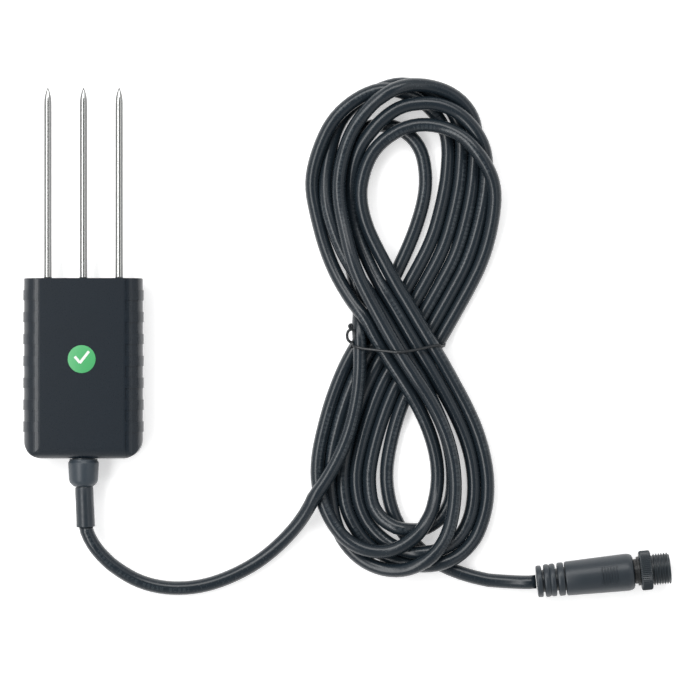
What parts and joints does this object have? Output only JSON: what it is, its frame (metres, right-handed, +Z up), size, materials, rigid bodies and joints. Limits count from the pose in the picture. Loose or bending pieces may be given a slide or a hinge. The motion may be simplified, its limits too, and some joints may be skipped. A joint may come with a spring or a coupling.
{
  "type": "soil moisture and temperature probe",
  "caption": "Flat ribbed housing with pointed steel pins for pushing into soil, and a hanked signal cable ending in a round threaded connector.",
  "frame": {"origin": "on the resting surface, under the middle of the box around the rigid head (pins, housing, boot and sleeve), with the cable and its connector left out", "axes": "+Y along the pins, towards their tips; +Z up, out of the labelled panel; +X to the right, towards the coiled cable"},
  "size_m": [0.2437, 0.1953, 0.0152],
  "materials": {
    "housing_plastic": "moulded ABS, smooth semi-gloss",
    "potting_resin": "cast black epoxy, glossy",
    "pin_steel": "drawn and polished stainless steel",
    "tinned_metal": "tinned strip",
    "bead_glass": "coated bead",
    "board_laminate": "solder mask over glass epoxy",
    "chip_epoxy": "moulded epoxy",
    "capacitor_can": "drawn can",
    "ferrite": "sintered ferrite, dull",
    "core_red": "extruded PVC",
    "core_black": "extruded PVC",
    "core_yellow": "extruded PVC",
    "core_white": "extruded PVC",
    "cable_jacket": "extruded PVC jacket, satin",
    "boot_rubber": "moulded soft PVC, satin",
    "sleeve_polyolefin": "shrunk polyolefin, satin",
    "label_film": "printed vinyl film",
    "tie_coating": "plastic coated wire",
    "connector_grip": "moulded TPU, fine matt texture",
    "insert_plastic": "moulded PA, matt",
    "contact_gold": "gold plated",
    "screw_plastic": "moulded glass-filled nylon, matt"
  },
  "bodies": {
    "probe": {"housing_shell": "housing_plastic", "potting_resin": "potting_resin", "probe_pin_left": "pin_steel", "probe_pin_middle": "pin_steel", "probe_pin_right": "pin_steel", "pin_clip_left": "tinned_metal", "pin_clip_middle": "tinned_metal", "pin_clip_right": "tinned_metal", "thermistor_bead": "bead_glass", "circuit_board": "board_laminate", "microcontroller": "chip_epoxy", "transceiver_chip": "chip_epoxy", "voltage_regulator": "chip_epoxy", "surge_diode_1": "chip_epoxy", "surge_diode_2": "chip_epoxy", "filter_capacitor_1": "capacitor_can", "filter_capacitor_2": "capacitor_can", "power_inductor": "ferrite", "crystal_oscillator": "capacitor_can", "core_red": "core_red", "core_black": "core_black", "core_yellow": "core_yellow", "core_white": "core_white", "cable_inlet_end": "cable_jacket", "cable_boot": "boot_rubber", "heat_shrink_sleeve": "sleeve_polyolefin", "quality_label": "label_film", "cable_lead": "cable_jacket", "cable_hank": "cable_jacket", "cable_tail": "cable_jacket", "wire_tie": "tie_coating", "connector_grip": "connector_grip", "connector_cable_end": "cable_jacket", "contact_carrier": "insert_plastic", "contact_pin_1": "contact_gold", "contact_pin_2": "contact_gold", "contact_pin_3": "contact_gold", "contact_pin_4": "contact_gold", "connector_core_red": "core_red", "connector_core_black": "core_black", "connector_core_yellow": "core_yellow", "connector_core_white": "core_white"},
    "coupling_screw": {"coupling_screw": "screw_plastic"}
  },
  "joints": [
    {"name": "coupling_screw_turn", "type": "hinge", "parent": "probe", "child": "coupling_screw", "pos_m": [0.21139, -0.09903, 0.0075], "axis": [0.9937, 0.1062, 0.0347], "continuous": true}
  ]
}
